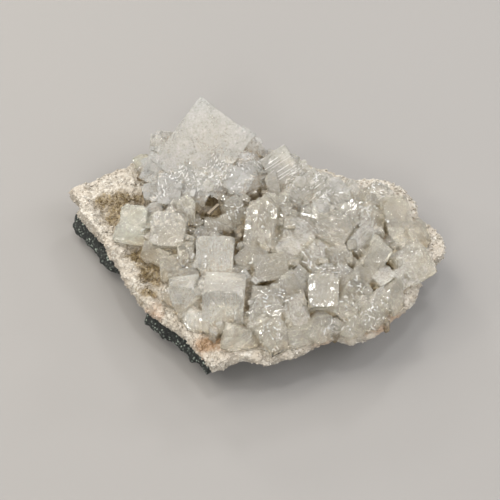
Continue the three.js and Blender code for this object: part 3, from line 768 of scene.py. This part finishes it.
def combined(mesh, changes):
    """The mesh with lists of blocks joined to it or cut out, each in its own material."""
    whole = link_object("whole", mesh)
    parts = []
    for blocks, finish, operation in changes:
        for layer in layers_of(blocks, finish):
            part = link_object("part", layer)
            modifier = whole.modifiers.new("part", "BOOLEAN")
            modifier.operation = operation
            modifier.solver = "MANIFOLD"
            modifier.object = part
            parts.append(part)
    evaluated = whole.evaluated_get(bpy.context.evaluated_depsgraph_get())
    made = bpy.data.meshes.new_from_object(evaluated)
    for used in [whole] + parts:
        bpy.data.objects.remove(used)
    return made


def bruise_and_highlight_edges(body):
    """Gives the long outer edges a narrow white strip: a bruise, and a painted highlight along
    each edge.
    """
    edges = [e for e in body.edges
             if e.is_convex and e.calc_face_angle(0) > 0.35 and e.calc_length() > 2 * MM]
    bmesh.ops.bevel(body, geom=edges, offset=EDGE_BRUISE_AND_HIGHLIGHT * MM, segments=1, affect="EDGES",
                    clamp_overlap=False, material=1)


# Apophyllite: a clear, water-white silicate, here clouded by tiny fluid inclusions and
# cleavage cracks. Its prism faces are glassy, so it reflects like glass and lets much of
# the light through, and the cloudiness gives it a milky body. Low down between the crystals
# its colour turns a darker clay brown, which is painted shade.
CLOUD = 9                     # size of a cloud of inclusions
FROST = 2.2                   # size of a dull, etched patch
VEIL = 0.9                    # size of a veil of fine cracks
RECESS_SHADE_DEPTHS = 0.5, 6.5        # depth between the crystals where the painted shade starts and is full
RECESS_SHADE_BORDER = 12              # how strongly the painted shade's border wanders
MOSAIC = 0.14                 # slope between neighbouring growth domains
DOMAIN = 2.4                  # width of such a domain
RIPPLE = 0.05                 # slope between the laths that a face is built of
LATH = 0.75                   # about the width of a lath; it lies along the growth lines
HACKLE = 0.8                  # slope between the facets of a splintered patch
FACET = 0.65                  # width of such a facet
STRIATION = 0.4               # width of a growth line; the finest real ones wouldn't show


def leaning_cells(tree, place, size, slope):
    """Height of a surface made of cells that each lean their own way."""
    cells = add(tree, "ShaderNodeTexVoronoi", {"Vector": place}, {"Scale": 1 / size})
    inside = add(tree, "ShaderNodeVectorMath", {0: place, 1: cells.outputs["Position"]},
                 operation="SUBTRACT")
    lean = add(tree, "ShaderNodeVectorMath", {0: cells.outputs["Color"]},
               {1: (-0.5, -0.5, -0.5)}, operation="ADD")
    rise = add(tree, "ShaderNodeVectorMath",
               {0: inside.outputs["Vector"], 1: lean.outputs["Vector"]},
               operation="DOT_PRODUCT")
    return add(tree, "ShaderNodeMath", {0: rise.outputs["Value"]}, {1: slope},
               operation="MULTIPLY").outputs[0]


def apophyllite(name, clearness, dullest, shades, line_depth=0.05, tint="#dcd5b2",
                zoning=1.0):
    """Apophyllite of a clearness, with the roughness of its dullest patches and two shades.

    line_depth is the depth of its growth lines, tint the colour that a thick crystal gives
    the light that passes through it, and zoning how much its cloudiness follows the lines.
    """
    tree, material, output = new_material(name)
    place = add(tree, "ShaderNodeTexCoord").outputs["Object"]
    clouds = add(tree, "ShaderNodeTexNoise", {"Vector": place},
                 {"Scale": 1 / (CLOUD * MM), "Detail": 5.0, "Roughness": 0.65})
    frost = add(tree, "ShaderNodeTexNoise", {"Vector": place},
                {"Scale": 1 / (FROST * MM), "Detail": 5.0, "Roughness": 0.7})
    veils = add(tree, "ShaderNodeTexNoise", {"Vector": place},
                {"Scale": 1 / (VEIL * MM), "Detail": 3.0, "Roughness": 0.7})
    axes = [add(tree, "ShaderNodeAttribute", attribute_name=way).outputs["Vector"]
            for way in ("across", "along")]
    ways = [add(tree, "ShaderNodeVectorMath", {0: place, 1: axis}, operation="DOT_PRODUCT")
            for axis in axes]
    lines = add(tree, "ShaderNodeCombineXYZ",
                {"X": ways[0].outputs["Value"], "Y": ways[1].outputs["Value"]})
    drawn_out = add(tree, "ShaderNodeMapping", {"Vector": lines.outputs[0]},
                    {"Scale": (1 / (STRIATION * MM), 1 / (14 * STRIATION * MM), 1)})
    growth_lines = add(tree, "ShaderNodeTexNoise", {"Vector": drawn_out.outputs[0]},
                       {"Scale": 1.0, "Detail": 3.0, "Roughness": 0.6})
    zones = add(tree, "ShaderNodeMath",
                {0: growth_lines.outputs["Fac"], 2: veils.outputs["Fac"]}, {1: zoning},
                operation="MULTIPLY_ADD")
    cloudiness = add(tree, "ShaderNodeMath",
                     {0: zones.outputs[0], 1: clouds.outputs["Fac"]}, operation="ADD")
    milkiness = add(tree, "ShaderNodeMapRange", {"Value": cloudiness.outputs[0]},
                    {"From Min": 0.8 + zoning / 2, "From Max": 1.2 + zoning / 2})
    body_tint = add(tree, "ShaderNodeMix", {"Factor": milkiness.outputs[0]},
                    {"A": linear(shades[0]), "B": linear(shades[1])}, data_type="RGBA")
    # Painted shade: the deeper a point lies among the crystals, the more its colour turns to a
    # darker clay brown.
    depth = add(tree, "ShaderNodeAttribute", attribute_name="depth")
    ragged = add(tree, "ShaderNodeMath",
                 {0: frost.outputs["Fac"], 2: depth.outputs["Fac"]}, {1: RECESS_SHADE_BORDER},
                 operation="MULTIPLY_ADD")
    recess_shade = add(tree, "ShaderNodeMapRange", {"Value": ragged.outputs[0]},
               {"From Min": RECESS_SHADE_DEPTHS[0] + RECESS_SHADE_BORDER / 2,
                "From Max": RECESS_SHADE_DEPTHS[1] + RECESS_SHADE_BORDER / 2, "To Min": 0.0, "To Max": 0.8})
    recess_shaded = add(tree, "ShaderNodeMix",
                 {"Factor": recess_shade.outputs[0], "A": body_tint.outputs["Result"]},
                 {"B": linear("#bfa67a")}, data_type="RGBA")
    polish = add(tree, "ShaderNodeMapRange", {"Value": frost.outputs["Fac"]},
                 {"From Min": 0.35, "From Max": 0.70, "To Min": 0.02, "To Max": dullest})
    ridges = add(tree, "ShaderNodeMapRange", {"Value": growth_lines.outputs["Fac"]},
                 {"From Min": 0.56, "From Max": 0.62})
    lined = add(tree, "ShaderNodeBump", {"Height": ridges.outputs[0]},
                {"Strength": 1.0, "Distance": line_depth * MM})
    domains = leaning_cells(tree, place, DOMAIN * MM, MOSAIC)
    narrow = add(tree, "ShaderNodeMapping", {"Vector": lines.outputs[0]},
                 {"Scale": (1.5, 0.4, 1)})
    laths = leaning_cells(tree, narrow.outputs[0], LATH * MM, RIPPLE)
    splinters = leaning_cells(tree, place, FACET * MM, HACKLE)
    patches = add(tree, "ShaderNodeMapRange", {"Value": clouds.outputs["Fac"]},
                  {"From Min": 0.54, "From Max": 0.62})
    smooth = add(tree, "ShaderNodeMath", {0: domains, 1: laths}, operation="ADD")
    uneven = add(tree, "ShaderNodeMath",
                 {0: splinters, 1: patches.outputs[0], 2: smooth.outputs[0]},
                 operation="MULTIPLY_ADD")
    mosaic = add(tree, "ShaderNodeBump",
                 {"Height": uneven.outputs[0], "Normal": lined.outputs[0]},
                 {"Strength": 1.0, "Distance": 1.0})
    surface = add(tree, "ShaderNodeBsdfPrincipled",
                  {"Base Color": recess_shaded.outputs["Result"], "Roughness": polish.outputs[0],
                   "Normal": mosaic.outputs[0]},
                  {"IOR": 1.535, "Transmission Weight": clearness})
    depths = add(tree, "ShaderNodeVolumeAbsorption",
                 values={"Color": linear(tint), "Density": 15.0})
    tree.links.new(surface.outputs[0], output.inputs["Surface"])
    tree.links.new(depths.outputs[0], output.inputs["Volume"])
    return material


# Most crystals are milky. Fresh splinters and chips are clear and bright. Knocked edges, ribs
# and every fifth splinter are a dense white: bruising, and painted edge highlights and glints.
# The left blocks are faintly green, the great block is an even cloudy white, the front block
# is fogged inside, and the striated blocks are cut by deeper growth lines.
milky = apophyllite("milky apophyllite", 0.79, 0.20, ("#e2dfd2", "#fcfbf5"))
clear = apophyllite("clear apophyllite", 0.84, 0.10, ("#fdfcf8", "#ffffff"))
# Dense white: bruised crystal, also used as painted highlights on edges and ribs and as painted
# glints.
bruise_and_glint_white = apophyllite("bruised apophyllite", 0.35, 0.30, ("#ffffff", "#ffffff"))
greenish = apophyllite("greenish apophyllite", 0.78, 0.20, ("#e2e4d8", "#fafcf5"))
cloudy_white = apophyllite("cloudy apophyllite", 0.70, 0.20, ("#d4d5d1", "#f8f9f8"),
                           0.03, "#e4e2d6", 0.2)
fogged = apophyllite("fogged apophyllite", 0.72, 0.22, ("#e4e2d8", "#fdfdf9"))
striated = apophyllite("striated apophyllite", 0.70, 0.15, ("#dddbd2", "#fdfdf9"), 0.14)
# The other groups are milky.
BODY = {"striated_block_crystals": striated, "large_block_crystal": cloudy_white,
        "left_block_crystals": greenish, "rear_left_crystal": greenish,
        "front_block_crystals": fogged}

between = gap_crystals(random.Random(7))
for number, node in enumerate(CRYSTAL_GROUPS):
    draw = random.Random(41 + number)
    body = welded(node)
    # The solid's triangles join to whole crystal faces.
    bmesh.ops.dissolve_limit(body, angle_limit=math.radians(0.5), verts=body.verts,
                             edges=body.edges)
    crosswise = node == "striated_block_crystals"
    faces = [Face(f, crosswise) for f in body.faces
             if f.calc_area() > SMALL_FACE * MM ** 2 and f.normal.z > -0.3]
    grown, ribs, splinters = between[node], [], []
    for face in faces:
        grown += growth_steps(face, draw)
        if crosswise:
            grown += striations(face, draw, 0.8, 0.25)
            if face.area > RIBBED_FACE:
                ribs += striations(face, draw, 1.0, 0.2, 12)
        elif face.area > LINED_FACE:
            grown += striations(face, draw, 1.9, 0.16)
        if face.area < SMOOTH_FACE and not face.within(CLEAN):
            grown += parallel_blocks(face, draw)
            grown += intergrown(face, draw)
        splinters += sparkles(face, draw)
    # The host keeps the unworn faces, which say which way the growth lines run.
    host = body.copy()
    # A white strip along each long outer edge: a bruise, and a painted edge highlight.
    bruise_and_highlight_edges(body)
    mesh = bpy.data.meshes.new(node)
    body.to_mesh(mesh)
    body.free()
    mesh.materials.clear()
    own = BODY.get(node, milky)
    mesh.materials.append(own)
    mesh.materials.append(bruise_and_glint_white)
    # Every fifth splinter, the ribs and the edge strips get the dense white: painted glints and
    # highlights.
    mesh = combined(mesh, (
        (grown, own, "UNION"), (ribs, bruise_and_glint_white, "UNION"),
        (splinters[::5], bruise_and_glint_white, "UNION"),
        ([b for i, b in enumerate(splinters) if i % 5], clear, "UNION"),
        (edge_chips(host, draw), clear, "DIFFERENCE")))
    mesh.name = "grown_" + node
    # How deep each point lies among the crystals, which sets its painted shade.
    sheltered(mesh)
    grained(mesh, host, crosswise)
    host.free()
    piece = link_object("grown_" + node, mesh)
    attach(piece, "root")
    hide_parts(node)
